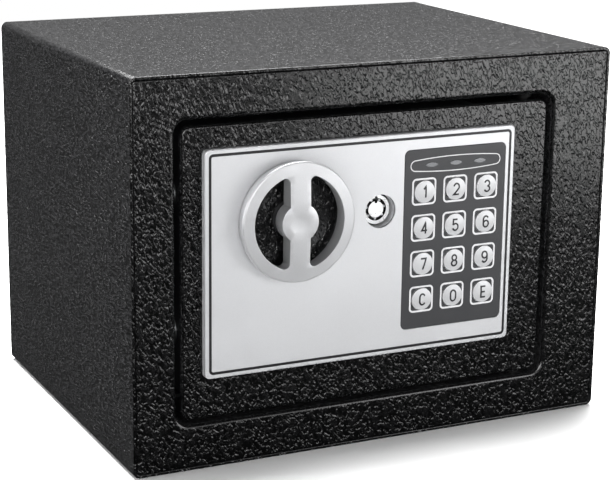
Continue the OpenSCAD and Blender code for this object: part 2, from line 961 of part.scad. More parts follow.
// Two round bolts, each riveted through the carriage's flange
module locking_bolts() {
    color("#c3c5c8") for (z = bolt_z) {
        bar_x(bolt_y, z, bolt_r, bolt_tip + bolt_step, flange_x);
        bar_x(bolt_y, z, bolt_r - bolt_step, bolt_tip, flange_x);
        bar_x(bolt_y, z, rivet_r, flange_x - eps, flange_x + carriage_t);
        bar_x(bolt_y, z, rivet_head_r, flange_x + carriage_t, flange_x + carriage_t + 1);
    }
}

// Shouldered studs on the door that the carriage slides on
module guide_studs() {
    y0 = carriage_y - stud_gap;
    y1 = carriage_y + carriage_t + stud_gap;
    color("#a9abae") for (p = stud_pos) {
        bar_y(p[0], p[1], stud_head_r, door_back, y0);
        bar_y(p[0], p[1], stud_r, y0 - eps, y1 + eps);
        bar_y(p[0], p[1], stud_head_r, y1, y1 + 1.4);
    }
}

// The bracket on the door's left that the bolts slide through
module bolt_guide() {
    z0 = plate_z0 - 3;
    z1 = plate_z1 + 3;
    color("#8f9194") difference() {
        union() {
            block([guide_x, door_back, z0], [guide_x + guide_t, bolt_y + bolt_r + 0.6, z1]);
            block([guide_x, door_back, z0], [guide_x + guide_foot, door_back + guide_t, z1]);
        }
        for (z = bolt_z) {
            bar_x(bolt_y, z, bolt_r + hole_gap, guide_x - 1, guide_x + guide_t + 1);
        }
    }
}

// A bent steel strap around the coil, with a foot on the door
module solenoid_frame() {
    x0 = plunger_x - yoke_w / 2;
    x1 = plunger_x + yoke_w / 2;
    y0 = plunger_y - 7;
    y1 = plunger_y + 7;
    color("#9a9c9f") difference() {
        union() {
            block([x0, y0, coil_z0 - yoke_t], [x1, y1, coil_z0]);
            block([x0, y0, coil_z1], [x1, y1, coil_z1 + yoke_t]);
            block([x0, y0, coil_z0 - yoke_t], [x0 + yoke_t, y1, coil_z1 + yoke_t]);
            block([x1 - yoke_t, y0, coil_z0 - yoke_t], [x1, y1, coil_z1 + yoke_t]);
            block([x0, door_back, coil_z1], [x1, y0, coil_z1 + yoke_t]);
        }
        translate([plunger_x, plunger_y, coil_z0 - 5]) cylinder(r = plunger_r + 0.4, h = 6);
    }
}

module solenoid_coil() {
    color("#7c3b1c") difference() {
        translate([plunger_x, plunger_y, coil_z0]) union() {
            cylinder(r = coil_r - 1, h = coil_z1 - coil_z0);
            cylinder(r = coil_r, h = 1);
            translate([0, 0, coil_z1 - coil_z0 - 1]) cylinder(r = coil_r, h = 1);
        }
        translate([plunger_x, plunger_y, coil_z0 - 1]) cylinder(r = plunger_r + 0.4, h = 14);
    }
}

module plunger() {
    color("#c3c5c8") translate([plunger_x, plunger_y, 0]) {
        translate([0, 0, tail_z1 + plunger_gap])
            cylinder(r = plunger_r, h = plunger_top - tail_z1 - plunger_gap);
        translate([0, 0, collar_z]) cylinder(r = collar_r, h = collar_t);
    }
}

module plunger_spring() {
    z0 = collar_z + collar_t + 0.1;
    color("#d0d2d4") translate([plunger_x, plunger_y, z0])
        spring(4.6, 0.25, 4, coil_z0 - yoke_t - z0 - 0.05);
}

// The lock's fixed barrel, with a flange screwed to the back of the door
module lock_body() {
    color("#d8d9db") difference() {
        union() {
            bar_y(lock_x, lock_z, lock_r, lock_face, lock_end);
            facing(lock_x, door_back + 2, lock_z) linear_extrude(2) rounded(26, 19, 3);
        }
        bar_y(lock_x, lock_z, keyway_r, lock_face - 1, lock_end + 1);
        block([lock_x - notch_w / 2, lock_face - 1, lock_z],
              [lock_x + notch_w / 2, lock_face + 2, lock_z + keyway_r + 0.7]);
        for (s = [-1, 1]) {
            bar_y(lock_x + s * 9.5, lock_z, 1.6, door_back - 1, door_back + 3);
        }
    }
}

module lock_screws() {
    color("#b8babd") for (s = [-1, 1]) {
        cross_screw(lock_x + s * 9.5, door_back + 2, lock_z, 2);
    }
}

// The turning core: a centre post inside the ring-shaped keyway, then the plug
module lock_core() {
    floor_y = front + keyway_d;
    color("#d0d1d3") difference() {
        union() {
            bar_y(lock_x, lock_z, keyway_in, lock_face + 0.1, floor_y + 1);
            bar_y(lock_x, lock_z, keyway_r - core_gap, floor_y, lock_end + 0.3);
            bar_y(lock_x, lock_z, 2.5, lock_end + 0.2, lock_end + 0.4 + cam_t);
        }
        block([lock_x - notch_w / 2, lock_face - 1, lock_z + keyway_in - 0.9],
              [lock_x + notch_w / 2, lock_face + 2, lock_z + keyway_r + 1]);
    }
}

module lock_pins() {
    mid = (keyway_r + keyway_in) / 2;
    color("#b9a878") for (i = [0 : lock_pins_n - 1]) {
        a = 90 + (i + 0.5) * 360 / lock_pins_n;
        bar_y(lock_x + mid * cos(a), lock_z + mid * sin(a), lock_pin_r, lock_face + 0.8, front + keyway_d);
    }
}

module lock_cam() {
    y0 = lock_end + 0.4;
    color("#a9abae") difference() {
        union() {
            bar_y(lock_x, lock_z, 5, y0, y0 + cam_t);
            block([lock_x - cam_w / 2, y0, lock_z - cam_reach], [lock_x + cam_w / 2, y0 + cam_t, lock_z]);
        }
        bar_y(lock_x, lock_z, 2.5, y0 - 1, y0 + cam_t + 1);
    }
}

// ---- Batteries ----

function cell_z(i) = bay_z + (i - (cell_n - 1) / 2) * cell_pitch;

module battery_box() {
    y0 = cell_y - cell_r - 0.3 - bay_t;
    y1 = cover_back - cover_t;
    color("#1c1c1e") difference() {
        block([bay_x0, y0, bay_z0], [bay_x1, y1, bay_z1]);
        block([bay_x0 + bay_t, y0 + bay_t, bay_z0 + bay_t], [bay_x1 - bay_t, y1 + 1, bay_z1 - bay_t]);
    }
}

module batteries() {
    color("#3f7a4a") for (i = [0 : cell_n - 1]) {
        flip = i % 2 == 0 ? 1 : -1;
        translate([bay_x + flip * cell_off, cell_y, cell_z(i)]) rotate([0, 90 * flip, 0]) {
            translate([0, 0, -cell_l / 2]) cylinder(r = cell_r, h = cell_l - 1.2);
            translate([0, 0, -cell_l / 2]) cylinder(r = 2.6, h = cell_l);
        }
    }
}

// A flat contact at one end of each cell and a spring at the other
module battery_contacts() {
    color("#d0d2d4") for (i = [0 : cell_n - 1]) {
        z = cell_z(i);
        left = bay_x0 + bay_t;
        right = bay_x1 - bay_t;
        spring_h = bay_x + cell_off - cell_l / 2 - left - 0.4;
        block([left, cell_y - 5, z - 5], [left + 0.4, cell_y + 5, z + 5]);
        block([right - 0.4, cell_y - 5, z - 5], [right, cell_y + 5, z + 5]);
        at = i % 2 == 0 ? left + 0.35 : right - 0.35;
        turn = i % 2 == 0 ? 90 : -90;
        translate([at, cell_y, z]) rotate([0, turn, 0]) spring(3, 0.3, 2, spring_h);
    }
}

// The removable lid, with ribs for the thumb
module battery_cover() {
    y1 = cover_back;
    rib_half = 8;
    rib_from = 18;
    rib_step = 2;
    color("#232325") {
        facing(bay_x, y1, bay_z) linear_extrude(lid_t)
            rounded(lid_w - 2 * lid_gap, lid_h - 2 * lid_gap, lid_r - lid_gap);
        for (i = [0 : 4]) {
            z = bay_z + rib_from + i * rib_step;
            block([bay_x - rib_half, y1 - eps, z], [bay_x + rib_half, y1 + 0.5, z + 0.8]);
        }
    }
}

// ---- Keys ----

// A domed key with a flange that keeps it behind the panel
module key_cap(k) {
    dome_r = cap_radius(key_r, key_dome);
    color("#d4d5d8") facing(key_x(k), key_end, key_z(k)) {
        cylinder(r = key_r, h = key_end - key_top);
        translate([0, 0, key_end - key_flange_y - key_flange_t])
            cylinder(r = key_flange_r, h = key_flange_t);
        intersection() {
            cylinder(r = key_r, h = key_end - key_top + key_dome + 1);
            translate([0, 0, key_end - key_top + key_dome - dome_r]) sphere(dome_r, $fn = 128);
        }
    }
}

body_shell();
back_panel();
front_frame();
floor_mat();
hinge_washers();
door_panel();
hinge_lugs();
hinge_pins();
door_cover();
cover_posts();
cover_screws();
fascia();
border_line();
fascia_screws();
keypad_panel();
panel_print();
led_lenses();
leds();
keypad_board();
key_switches();
board_spacers();
control_board();
buzzer();
reset_switch();
wiring();
spindle_bush();
guide_studs();
bolt_guide();
solenoid_frame();
solenoid_coil();
plunger_spring();
lock_body();
lock_screws();
battery_box();
battery_contacts();
batteries();
knob();
knob_spindle();
crank();
spindle_clip();
bolt_carriage();
locking_bolts();
plunger();
lock_core();
lock_pins();
lock_cam();
for (k = KEYS) {
    key_cap(k);
}
reset_button();
battery_cover();
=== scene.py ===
"""Looks of the small electronic safe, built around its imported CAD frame. Metres, +Z up, front towards -Y."""

import json
import math

import bmesh
import bpy
from mathutils import Matrix, Vector, noise


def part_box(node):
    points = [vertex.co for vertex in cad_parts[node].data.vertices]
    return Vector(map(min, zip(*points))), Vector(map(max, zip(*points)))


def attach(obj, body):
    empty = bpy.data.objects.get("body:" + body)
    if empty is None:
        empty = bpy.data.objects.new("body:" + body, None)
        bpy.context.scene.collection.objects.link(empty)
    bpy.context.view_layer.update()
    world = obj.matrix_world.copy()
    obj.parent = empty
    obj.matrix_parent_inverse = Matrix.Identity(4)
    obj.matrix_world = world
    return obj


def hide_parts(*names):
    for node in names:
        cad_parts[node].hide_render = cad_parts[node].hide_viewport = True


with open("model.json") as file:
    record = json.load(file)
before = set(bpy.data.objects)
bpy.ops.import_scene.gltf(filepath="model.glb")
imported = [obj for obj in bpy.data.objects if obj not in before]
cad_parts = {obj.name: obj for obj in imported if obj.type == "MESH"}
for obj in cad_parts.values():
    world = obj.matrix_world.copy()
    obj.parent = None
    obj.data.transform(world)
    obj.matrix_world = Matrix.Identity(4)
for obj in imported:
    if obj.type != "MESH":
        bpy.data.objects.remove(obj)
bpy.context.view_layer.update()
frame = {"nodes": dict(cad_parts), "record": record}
NODES = frame["nodes"]
MM = 0.001

# ---- Node graphs ----


class Nodes:
    """A node tree, with short calls for adding and wiring nodes."""

    def __init__(self, tree):
        self.tree = tree

    def add(self, kind, settings=None, **inputs):
        node = self.tree.nodes.new("ShaderNode" + kind)
        for key, value in (settings or {}).items():
            setattr(node, key, value)
        for key, value in inputs.items():
            self.put(node.inputs[key.replace("_", " ")], value)
        return node

    def put(self, socket, value):
        if isinstance(value, bpy.types.NodeSocket):
            self.tree.links.new(value, socket)
        else:
            socket.default_value = value

    def math(self, operation, a, b=0.0):
        node = self.add("Math", {"operation": operation})
        self.put(node.inputs[0], a)
        self.put(node.inputs[1], b)
        return node.outputs[0]

    def facing(self, direction, towards):
        """How nearly a direction points towards the one given, from -1 to 1."""
        node = self.add("VectorMath", {"operation": "DOT_PRODUCT"})
        self.put(node.inputs[0], direction)
        self.put(node.inputs[1], Vector(towards).normalized())
        return node.outputs["Value"]

    def step(self, value, low, high, to_low=0.0, to_high=1.0):
        """Maps value from low..high to to_low..to_high, smoothly and clamped."""
        node = self.add("MapRange", {"interpolation_type": "SMOOTHSTEP"})
        for key, number in zip(("From Min", "From Max", "To Min", "To Max"), (low, high, to_low, to_high)):
            node.inputs[key].default_value = number
        self.put(node.inputs["Value"], value)
        return node.outputs["Result"]


class Graph(Nodes):
    """A new material, with calls for its shader and its patterns."""

    def __init__(self, name):
        self.material = bpy.data.materials.new(name)
        self.material.use_nodes = True
        super().__init__(self.material.node_tree)
        self.shader = self.tree.nodes["Principled BSDF"]
        self.place = self.add("TexCoord").outputs["Object"]

    def set(self, **inputs):
        for key, value in inputs.items():
            self.put(self.shader.inputs[key.replace("_", " ")], value)

    def noise(self, scale, detail=2.0, rough=0.5, distortion=0.0, at=None):
        node = self.add(
            "TexNoise",
            Vector=at or self.place,
            Scale=scale,
            Detail=detail,
            Roughness=rough,
            Distortion=distortion,
        )
        return node.outputs["Fac"]

    def mix(self, fac, a, b):
        node = self.add("Mix", {"data_type": "RGBA"})
        self.put(node.inputs["Factor"], fac)
        self.put(node.inputs["A"], a if isinstance(a, bpy.types.NodeSocket) else (*a, 1))
        self.put(node.inputs["B"], b if isinstance(b, bpy.types.NodeSocket) else (*b, 1))
        return node.outputs["Result"]

    def stretch(self, x, y, z):
        """The place with each axis scaled, so that a pattern on it is longer where the scale is below one."""
        node = self.add("Mapping", Vector=self.place)
        node.inputs["Scale"].default_value = (x, y, z)
        return node.outputs["Vector"]

    def part(self, axis):
        """One coordinate of the place."""
        node = self.add("SeparateXYZ", Vector=self.place)
        return node.outputs[axis]

    def bump(self, height, distance, strength=1.0, under=None):
        node = self.add("Bump", Height=height, Distance=distance, Strength=strength)
        if under:
            self.put(node.inputs["Normal"], under)
        return node.outputs["Normal"]


# ---- Camera and lights ----

CAMERA_AT = (-0.3566, -0.7459, 0.2862)
CAMERA_AZIMUTH = 25.97
CAMERA_DOWN = 14.59
CAMERA_ROLL = 0.70
CAMERA_LENS = 104.86
CAMERA_NEAR = 0.01
SENSOR_WIDTH = 36.0


def add_camera():
    data = bpy.data.cameras.new("camera")
    data.lens = CAMERA_LENS
    data.sensor_width = SENSOR_WIDTH
    data.clip_start = CAMERA_NEAR
    camera = bpy.data.objects.new("camera", data)
    bpy.context.scene.collection.objects.link(camera)
    turn = Matrix.Rotation(math.radians(-CAMERA_AZIMUTH), 4, "Z")
    tilt = Matrix.Rotation(math.radians(90 - CAMERA_DOWN), 4, "X")
    roll = Matrix.Rotation(math.radians(CAMERA_ROLL), 4, "Z")
    camera.matrix_world = Matrix.Translation(CAMERA_AT) @ turn @ tilt @ roll
    bpy.context.scene.camera = camera


def add_area_light(name, at, aim, size, power):
    data = bpy.data.lights.new(name, "AREA")
    data.shape = "RECTANGLE"
    data.size, data.size_y = size
    data.energy = power
    light = bpy.data.objects.new(name, data)
    bpy.context.scene.collection.objects.link(light)
    light.location = at
    light.rotation_euler = (Vector(aim) - Vector(at)).to_track_quat("-Z", "Y").to_euler()


def add_lights():
    """Two small softboxes close to the front's right, a front fill, an overhead panel and a left panel."""
    middle = (0.02, -0.08, 0.09)
    upper_right = (0.10, -0.09, 0.12)
    add_area_light("near_right", (0.42, -0.48, 0.13), upper_right, (0.46, 0.25), 1.3)
    add_area_light("front_box", (0.22, -0.62, 0.22), (0.0, -0.09, 0.15), (0.50, 0.22), 0.4)
    add_area_light("fill_front", (-0.45, -1.3, 0.45), middle, (0.9, 0.7), 11)
    add_area_light("overhead", (0.1, 0.45, 1.5), middle, (1.4, 1.0), 105)
    add_area_light("side_left", (-0.9, 0.0, 0.25), middle, (0.25, 0.4), 4)
    bpy.context.scene.view_settings.view_transform = "Standard"


def add_studio():
    """A dim studio, white where the camera sees it, and a little lighter towards the back right."""
    world = bpy.data.worlds.new("studio")
    world.use_nodes = True
    nodes = Nodes(world.node_tree)
    background = nodes.tree.nodes["Background"]
    back_right = nodes.facing(nodes.add("TexCoord").outputs["Generated"], (0.45, 0.85, 0.30))
    level = nodes.step(back_right, 0.36, 0.99, 0.01, 0.15)
    seen = nodes.add("LightPath").outputs["Is Camera Ray"]
    nodes.put(background.inputs["Strength"], nodes.math("MAXIMUM", level, seen))
    nodes.put(background.inputs["Color"], (1, 1, 1, 1))
    bpy.context.scene.world = world


# ---- Materials ----

# Height of the paint's relief on each side of the object
RELIEF_SIDE = 0.40 * MM
RELIEF_TOP = 0.15 * MM
RELIEF_FRONT = 0.23 * MM
# From the fascia's face back to the middle of the groove in its edge, where the band of painted shade sits
GROOVE_DEPTH = 0.95 * MM
# From the door's face back to where the lock's face ends and its keyway starts
LOCK_FACE_DEPTH = 0.9 * MM
# From the cells' ends to their jackets, and to the end of the gold band
CELL_BARE = 1.3 * MM
CELL_BAND = 13.5 * MM


def wrinkle_paint():
    """Black powder coat dried into short raised worms, upright on the front and back and finer elsewhere."""
    g = Graph("wrinkle_paint")
    lean = g.add("Mapping", {"vector_type": "TEXTURE"}, Vector=g.place)
    lean.inputs["Rotation"].default_value = (0.25, -0.35, 0.0)
    lean.inputs["Scale"].default_value = (1.0, 1.0, 2.1)
    away = g.add("SeparateXYZ", Vector=g.add("NewGeometry").outputs["True Normal"])
    x, y, z = (g.math("ABSOLUTE", away.outputs[axis]) for axis in "XYZ")
    front = g.step(y, 0.3, 0.7)
    worms = g.step(g.noise(700.0, 1.0, 0.42, 0.7, lean.outputs["Vector"]), 0.39, 0.59)
    pebbles = g.step(g.noise(880.0, 1.0, 0.42, 0.3, g.stretch(1.0, 0.5, 1.0)), 0.40, 0.60)
    height = g.mix(front, pebbles, worms)
    # The relief fades out on the rounded edges, whose normals lie between two axes.
    square = g.step(g.math("MAXIMUM", x, g.math("MAXIMUM", y, z)), 0.93, 0.99)
    less_in_front = g.step(y, 0.3, 0.7, 0.0, RELIEF_SIDE - RELIEF_FRONT)
    relief = g.math("SUBTRACT", g.step(z, 0.3, 0.7, RELIEF_SIDE, RELIEF_TOP), less_in_front)
    fine = g.noise(3600.0, 2.0)
    worms_normal = g.bump(height, g.math("MULTIPLY", square, relief))
    g.set(Normal=g.bump(fine, 0.00002, 0.4, worms_normal))
    # Painted shade and highlight: the colour is darker in the relief's valleys and lighter on its ridges, and
    # the sides and top are painted lighter than the front.
    valley_shade = g.mix(front, (0.005, 0.005, 0.0053), (0.001, 0.001, 0.0011))
    ridge_highlight = g.mix(front, (0.022, 0.022, 0.023), (0.004, 0.004, 0.0043))
    g.set(Base_Color=g.mix(height, valley_shade, ridge_highlight), Specular_IOR_Level=0.65)
    duller_sides = g.step(y, 0.3, 0.7, 0.06, 0.0)
    g.set(Roughness=g.math("ADD", g.step(fine, 0.3, 0.7, 0.17, 0.25), duller_sides))
    return g.material


def silver_lacquer():
    """Silver paint on plastic, with a fine metallic grain, and painted shade darkening the groove along its
    sides.
    """
    g = Graph("silver_lacquer")
    face_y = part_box("fascia")[0].y
    grain = g.noise(5200.0, 2.0)
    cloud = g.noise(45.0, 3.0)
    tone = g.mix(grain, (0.45, 0.454, 0.467), (0.60, 0.605, 0.62))
    tone = g.mix(g.step(cloud, 0.35, 0.65, 0.0, 0.15), tone, (0.52, 0.525, 0.54))
    behind = g.math("SUBTRACT", g.part("Y"), face_y)
    from_middle = g.math("ABSOLUTE", g.math("SUBTRACT", behind, GROOVE_DEPTH))
    # Painted shade: a near-black band in the groove along the fascia's sides, around GROOVE_DEPTH behind its
    # face.
    g.set(Base_Color=g.mix(g.step(from_middle, 0.2 * MM, 0.3 * MM), (0.02, 0.02, 0.022), tone))
    g.set(Metallic=0.45, Roughness=g.step(cloud, 0.3, 0.7, 0.38, 0.44))
    g.set(Normal=g.bump(grain, 0.00002, 0.35))
    return g.material


def fine_silver(name, low, high, metallic, smooth, rough):
    """A finer silver lacquer, used on the knob and on the keys."""
    g = Graph(name)
    grain = g.noise(4200.0, 2.0)
    g.set(Base_Color=g.mix(grain, low, high), Metallic=metallic)
    g.set(Roughness=g.step(g.noise(120.0, 2.0), 0.3, 0.7, smooth, rough))
    g.set(Normal=g.bump(grain, 0.000012, 0.3))
    return g.material


def panel_film():
    """Dark grey screen-printed film."""
    g = Graph("panel_film")
    grain = g.noise(3200.0, 2.0)
    g.set(Base_Color=g.mix(grain, (0.019, 0.0195, 0.022), (0.031, 0.032, 0.035)))
    g.set(Roughness=g.step(g.noise(90.0, 2.0), 0.3, 0.7, 0.40, 0.50), Normal=g.bump(grain, 0.00002, 0.4))
    return g.material


def white_ink():
    """Screen-printed white lines."""
    g = Graph("white_ink")
    grain = g.noise(3800.0, 2.0)
    g.set(Base_Color=g.mix(grain, (0.40, 0.40, 0.41), (0.50, 0.50, 0.51)), Roughness=0.45)
    g.set(Normal=g.bump(grain, 0.00001, 0.4))
    return g.material


def dark_ink(name="dark_ink", low=(0.004, 0.004, 0.005), high=(0.008, 0.008, 0.009)):
    """Near-black ink, for the fascia's border line and the keys' legends."""
    g = Graph(name)
    grain = g.noise(3000.0, 2.0)
    g.set(Base_Color=g.mix(grain, low, high), Roughness=0.4, Normal=g.bump(grain, 0.00001, 0.4))
    return g.material


def polished_chrome():
    """Bright chrome, black with painted shade inside the keyway."""
    g = Graph("polished_chrome")
    smudge = g.noise(180.0, 3.0)
    inside = g.math("SUBTRACT", g.part("Y"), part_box("door_panel")[0].y + LOCK_FACE_DEPTH)
    # Painted shade: deeper than the lock's face the chrome turns near-black and non-metallic, with a noisy
    # edge.
    keyway_shade = g.step(g.math("ADD", inside, g.math("MULTIPLY", smudge, 0.2 * MM)), 0.35 * MM, 0.6 * MM)
    bright = g.mix(smudge, (0.84, 0.85, 0.86), (0.93, 0.94, 0.95))
    g.set(Base_Color=g.mix(keyway_shade, bright, (0.006, 0.006, 0.006)), Metallic=g.step(keyway_shade, 0.0, 1.0, 0.5, 0.0))
    g.set(Roughness=g.step(smudge, 0.3, 0.7, 0.22, 0.32), Normal=g.bump(g.noise(1500.0), 0.00001, 0.3))
    return g.material


def zinc_steel():
    """Zinc plated steel with faint drawn lines."""
    g = Graph("zinc_steel")
    lines = g.noise(900.0, 3.0, 0.6, 0.0, g.stretch(0.08, 1.0, 1.0))
    bloom = g.noise(160.0, 4.0)
    g.set(Base_Color=g.mix(bloom, (0.46, 0.47, 0.49), (0.66, 0.67, 0.68)), Metallic=1.0)
    g.set(Roughness=g.step(bloom, 0.3, 0.7, 0.28, 0.42), Normal=g.bump(lines, 0.00003, 0.4))
    return g.material


def turned_brass():
    """Brass with fine turning lines."""
    g = Graph("turned_brass")
    lines = g.noise(1400.0, 2.0, 0.5, 0.0, g.stretch(0.2, 1.0, 1.0))
    g.set(Base_Color=g.mix(lines, (0.60, 0.43, 0.17), (0.78, 0.60, 0.28)), Metallic=1.0)
    g.set(Roughness=g.step(lines, 0.3, 0.7, 0.22, 0.34), Normal=g.bump(lines, 0.00002, 0.4))
    return g.material


def black_moulding():
    """Black plastic with a fine spark-eroded texture."""
    g = Graph("black_moulding")
    pits = g.add("TexVoronoi", {"feature": "SMOOTH_F1"}, Vector=g.place, Scale=2200.0).outputs["Distance"]
    cloud = g.noise(60.0, 3.0)
    g.set(Base_Color=g.mix(cloud, (0.016, 0.016, 0.018), (0.028, 0.028, 0.030)))
    g.set(Roughness=g.step(cloud, 0.3, 0.7, 0.46, 0.58), Normal=g.bump(pits, 0.00005, 0.6))
    return g.material


def grey_felt():
    """Needled felt: tangled fibres over soft lumps."""
    g = Graph("grey_felt")
    fibres = g.noise(1500.0, 5.0, 0.75, 2.5)
    lumps = g.noise(220.0, 3.0)
    tone = g.mix(fibres, (0.045, 0.046, 0.050), (0.17, 0.172, 0.18))
    g.set(Base_Color=g.mix(g.step(lumps, 0.3, 0.7, 0.0, 0.35), tone, (0.07, 0.071, 0.075)))
    g.set(Roughness=0.95, Sheen_Weight=0.35, Sheen_Roughness=0.5)
    g.set(Normal=g.bump(g.math("ADD", fibres, g.math("MULTIPLY", lumps, 0.6)), 0.0006, 0.8))
    return g.material


def green_board():
    """Circuit board: green mask over paler tracks."""
    g = Graph("green_board")
    tracks = g.add("TexBrick", Vector=g.stretch(90.0, 1.0, 90.0), Scale=6.0, Mortar_Size=0.03)
    tracks.offset = 0.5
    mask = g.mix(g.noise(700.0, 3.0), (0.012, 0.085, 0.032), (0.018, 0.11, 0.042))
    line = g.step(tracks.outputs["Fac"], 0.2, 0.8)
    g.set(Base_Color=g.mix(line, mask, (0.03, 0.19, 0.08)))
    g.set(Roughness=0.32, Normal=g.bump(line, 0.00003, 0.5))
    return g.material


def tinted_lens():
    """Smoked plastic over the lights."""
    g = Graph("tinted_lens")
    smear = g.noise(300.0, 2.0)
    g.set(Base_Color=g.mix(smear, (0.075, 0.078, 0.084), (0.11, 0.114, 0.12)), Roughness=0.18)
    g.set(Coat_Weight=0.6, Coat_Roughness=0.1, Normal=g.bump(smear, 0.00002, 0.4))
    return g.material


def hinge_nylon_and_shade():
    """Black plastic, darkened further as painted shade deep in the gap around the door."""
    g = Graph("hinge_nylon_and_shade")
    grain = g.noise(1300.0, 3.0)
    # Painted shade: near-black with little shine, so the hinge washers and pins stay dark in the gap.
    g.set(Base_Color=g.mix(grain, (0.002, 0.002, 0.002), (0.005, 0.005, 0.005)), Specular_IOR_Level=0.1)
    g.set(Roughness=g.step(grain, 0.3, 0.7, 0.5, 0.65), Normal=g.bump(grain, 0.00003, 0.4))
    return g.material


def red_moulding():
    """Red plastic of the reset button."""
    g = Graph("red_moulding")
    grain = g.noise(900.0, 2.0)
    g.set(Base_Color=g.mix(grain, (0.38, 0.015, 0.015), (0.50, 0.025, 0.02)), Roughness=0.38)
    g.set(Normal=g.bump(grain, 0.00003, 0.4))
    return g.material


def wire_cover():
    """Soft lead covers, black in some places and red in others."""
    g = Graph("wire_cover")
    grain = g.noise(1200.0, 2.0)
    black = g.mix(grain, (0.02, 0.02, 0.022), (0.05, 0.05, 0.055))
    red = g.mix(grain, (0.30, 0.012, 0.012), (0.42, 0.03, 0.025))
    lead = g.step(g.noise(70.0, 0.0), 0.49, 0.51)
    g.set(Base_Color=g.mix(lead, black, red), Roughness=0.45)
    g.set(Normal=g.bump(grain, 0.00003, 0.4))
    return g.material


def copper_winding():
    """Fine turns of lacquered copper around the coil's upright axis."""
    g = Graph("copper_winding")
    wave = g.add("TexWave", {"bands_direction": "Z"}, Vector=g.place, Scale=700.0, Distortion=0.4)
    turns = wave.outputs["Fac"]
    g.set(Base_Color=g.mix(turns, (0.20, 0.06, 0.02), (0.62, 0.26, 0.10)), Metallic=0.9, Roughness=0.32)
    g.set(Normal=g.bump(turns, 0.0001, 0.8))
    return g.material


def cell_jacket():
    """AA cell: dark green jacket with a gold band, and bare metal at the two ends."""
    g = Graph("cell_jacket")
    low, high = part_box("batteries")
    middle = (low.x + high.x) / 2
    half = (high.x - low.x) / 2
    along = g.math("ABSOLUTE", g.math("SUBTRACT", g.part("X"), middle))
    bare = g.step(along, half - CELL_BARE - 0.2 * MM, half - CELL_BARE)
    band = g.step(along, half - CELL_BAND - 0.5 * MM, half - CELL_BAND)
    scuff = g.noise(500.0, 4.0)
    jacket = g.mix(band, (0.010, 0.075, 0.030), (0.50, 0.36, 0.12))
    jacket = g.mix(g.step(scuff, 0.62, 0.8, 0.0, 0.4), jacket, (0.12, 0.14, 0.12))
    g.set(Base_Color=g.mix(bare, jacket, (0.62, 0.63, 0.64)), Metallic=g.step(bare, 0.0, 1.0, 0.35, 1.0))
    g.set(Roughness=g.step(scuff, 0.3, 0.7, 0.24, 0.36), Normal=g.bump(scuff, 0.00002, 0.3))
    return g.material


def floor_paint():
    """Plain pale studio floor."""
    g = Graph("floor_paint")
    cloud = g.noise(3.0, 3.0)
    g.set(Base_Color=g.mix(cloud, (0.90, 0.90, 0.90), (0.93, 0.93, 0.93)), Roughness=0.8)
    g.set(Specular_IOR_Level=0.1, Normal=g.bump(cloud, 0.0002, 0.1))
    return g.material


SLOT_LOOKS = {
    "body_paint": wrinkle_paint,
    "plain_steel": zinc_steel,
    "chrome": polished_chrome,
    "brass": turned_brass,
    "silver_plastic": silver_lacquer,
    "panel_grey": panel_film,
    "print_white": white_ink,
    "print_black": dark_ink,
    "lens": tinted_lens,
    "board_green": green_board,
    "black_plastic": black_moulding,
    "red_plastic": red_moulding,
    "wire_cover": wire_cover,
    "coil_copper": copper_winding,
    "cell_jacket": cell_jacket,
    "felt": grey_felt,
}


def dress_nodes():
    """Gives every CAD node its slot's look, with finer silver on the knob and keys, and a near-black look,
    part painted shade, on the hinge washers and pins.
    """
    looks = {slot: make() for slot, make in SLOT_LOOKS.items()}
    knob_silver = fine_silver(
        "knob_silver",
        low=(0.48, 0.484, 0.496),
        high=(0.61, 0.615, 0.63),
        metallic=0.7,
        smooth=0.41,
        rough=0.47,
    )
    key_silver = fine_silver(
        "key_silver",
        low=(0.38, 0.384, 0.393),
        high=(0.48, 0.484, 0.493),
        metallic=0.35,
        smooth=0.38,
        rough=0.44,
    )
    nylon_and_shade = hinge_nylon_and_shade()
    for part in frame["record"]["subparts"]:
        node = NODES[part["node"]]
        look = looks[part["material_slot"]]
        if part["node"] == "knob":
            look = knob_silver
        elif part["node"].startswith("key_") and part["material_slot"] == "silver_plastic":
            look = key_silver
        # The hinge washers and pins get the near-black look, part painted shade.
        elif part["node"] in ("hinge_washers", "hinge_pins"):
            look = nylon_and_shade
        node.data.materials.clear()
        node.data.materials.append(look)
    return looks


# ---- Softened edges ----

WELD_GAP = 0.002 * MM
SHARP_ANGLE = math.radians(40)
EDGE_MM = {
    "knob": 0.35,
    "fascia": 0.2,
    "keypad_panel": 0.12,
    "door_panel": 0.25,
    "door_cover": 0.3,
    "battery_cover": 0.3,
    "lock_body": 0.12,
    "lock_core": 0.12,
    "locking_bolts": 0.3,
    "bolt_carriage": 0.25,
    "body_shell": 0.15,
    "front_frame": 0.25,
    "back_panel": 0.2,
}


def soften_edges():
    """Rounds the sharp edges that catch the light, by the widths in EDGE_MM."""
    for name, width in EDGE_MM.items():
        node = NODES[name]
        weld = node.modifiers.new("weld", "WELD")
        weld.merge_threshold = WELD_GAP
        bevel = node.modifiers.new("edge", "BEVEL")
        bevel.width = width * MM
        bevel.segments = 2
        bevel.limit_method = "ANGLE"
        bevel.angle_limit = SHARP_ANGLE


# ---- Floor ----

FLOOR_HALF = 1.3
FLOOR_DROP = 0.2 * MM


def add_floor():
    mesh = bpy.data.meshes.new("floor")
    shape = bmesh.new()
    bmesh.ops.create_grid(shape, x_segments=1, y_segments=1, size=FLOOR_HALF)
    shape.to_mesh(mesh)
    shape.free()
    floor = bpy.data.objects.new("floor", mesh)
    bpy.context.scene.collection.objects.link(floor)
    floor.location = (0, 0, -FLOOR_DROP)
    mesh.materials.append(floor_paint())
    floor.visible_glossy = False


# ---- Felt mat ----

MAT_VOXEL = 1.25 * MM
# Waves, lumps and nap: how many to a metre, and how far each moves the felt
WAVE_RATE, WAVE_MM = 55, 0.25
LUMP_RATE, LUMP_MM = 900, 0.12
NAP_RATE, NAP_MM = 700, 0.15
NAP_SHIFT = Vector((7, 3, 5))
MAT_SINK_MM = 0.2


